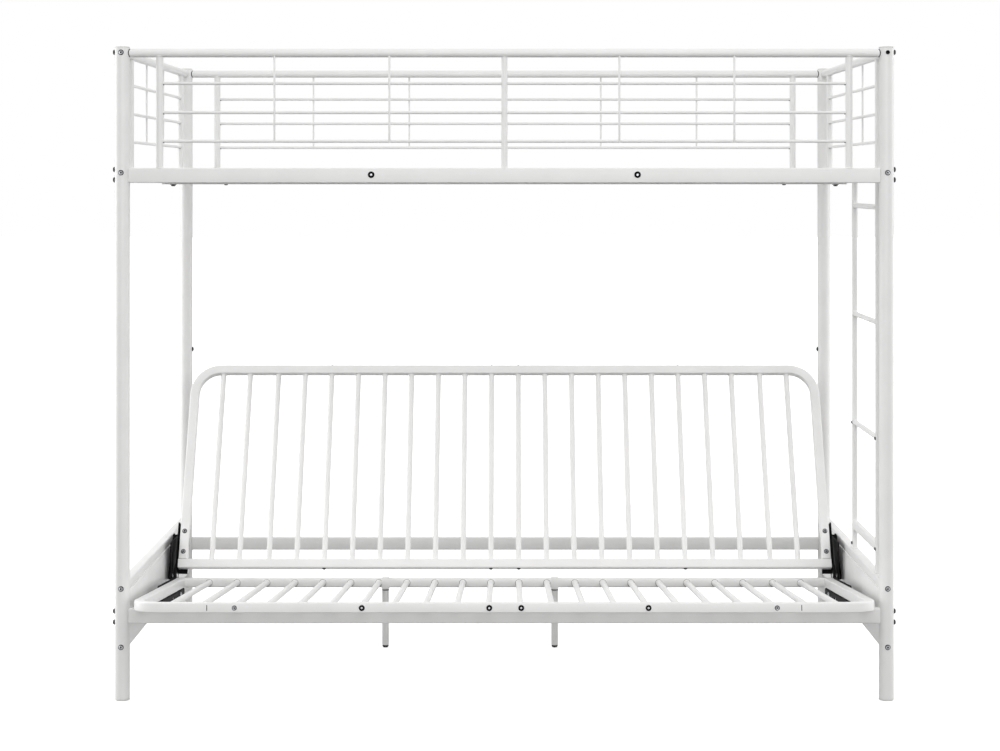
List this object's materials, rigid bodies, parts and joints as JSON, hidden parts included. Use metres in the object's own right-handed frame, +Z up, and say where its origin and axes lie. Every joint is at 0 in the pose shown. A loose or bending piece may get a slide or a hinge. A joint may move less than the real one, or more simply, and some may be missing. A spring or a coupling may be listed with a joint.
{
  "type": "futon bunk bed",
  "caption": "Steel tube bunk bed with guard rails and an end ladder over a slatted futon that folds from sofa to bed on slotted hinge brackets.",
  "frame": {"origin": "middle of the outline's underside on the floor", "axes": "+X along the bed towards the ladder end, front of the futon faces -Y, +Z up"},
  "size_m": [1.98, 1.1598, 1.6603],
  "materials": {
    "white_powder_coat": "semi-gloss white powder coat",
    "black_steel": "satin black coated pressed steel",
    "black_oxide_steel": "black oxide spring steel",
    "zinc_steel": "bright zinc-plated steel",
    "white_plastic": "matte white moulded plastic",
    "black_plastic": "matte black moulded plastic"
  },
  "bodies": {
    "frame": {"front_left_post": "white_powder_coat", "front_right_post": "white_powder_coat", "rear_left_post": "white_powder_coat", "rear_right_post": "white_powder_coat", "front_left_cap": "white_plastic", "front_right_cap": "white_plastic", "rear_left_cap": "white_plastic", "rear_right_cap": "white_plastic", "front_left_foot": "white_plastic", "front_right_foot": "white_plastic", "rear_left_foot": "white_plastic", "rear_right_foot": "white_plastic", "bunk_front_rail": "white_powder_coat", "bunk_rear_rail": "white_powder_coat", "bunk_left_end_rail": "white_powder_coat", "bunk_right_end_rail": "white_powder_coat", "bunk_slat_grid": "white_powder_coat", "bunk_front_ledge": "white_powder_coat", "bunk_rear_ledge": "white_powder_coat", "front_guard": "white_powder_coat", "rear_guard": "white_powder_coat", "left_guard": "white_powder_coat", "right_guard": "white_powder_coat", "ladder": "white_powder_coat", "lower_front_rail": "white_powder_coat", "lower_rear_rail": "white_powder_coat", "left_end_top_tube": "white_powder_coat", "right_end_top_tube": "white_powder_coat", "left_end_low_tube": "white_powder_coat", "right_end_low_tube": "white_powder_coat", "left_end_panel": "white_powder_coat", "right_end_panel": "white_powder_coat", "left_guide_bracket": "black_steel", "right_guide_bracket": "black_steel"},
    "seat": {"seat_front_rail": "white_powder_coat", "seat_left_bent_tube": "white_powder_coat", "seat_right_bent_tube": "white_powder_coat", "seat_slat_grid": "white_powder_coat", "left_support_leg": "white_powder_coat", "right_support_leg": "white_powder_coat", "left_leg_saddle": "white_powder_coat", "right_leg_saddle": "white_powder_coat", "left_leg_glide": "black_plastic", "right_leg_glide": "black_plastic", "left_seat_bracket": "black_steel", "right_seat_bracket": "black_steel", "left_hinge_pin": "zinc_steel", "right_hinge_pin": "zinc_steel", "left_pin_clip": "black_oxide_steel", "right_pin_clip": "black_oxide_steel"},
    "back": {"back_bent_tube": "white_powder_coat", "back_slat_grid": "white_powder_coat", "left_back_bracket": "black_steel", "right_back_bracket": "black_steel"}
  },
  "joints": [
    {"name": "back_recline", "type": "hinge", "parent": "seat", "child": "back", "pos_m": [0, 0.13044, 0.20281], "axis": [-1, 0, 0], "range_deg": [0, 71.22]},
    {"name": "seat_tilt", "type": "hinge", "parent": "frame", "child": "seat", "pos_m": [0, -0.42112, 0.2333], "axis": [1, 0, 0], "range_deg": [0, 6.62]}
  ],
  "couplings": [
    {"joint": "seat_tilt", "follows": "back_recline", "ratio": 0.09295}
  ]
}
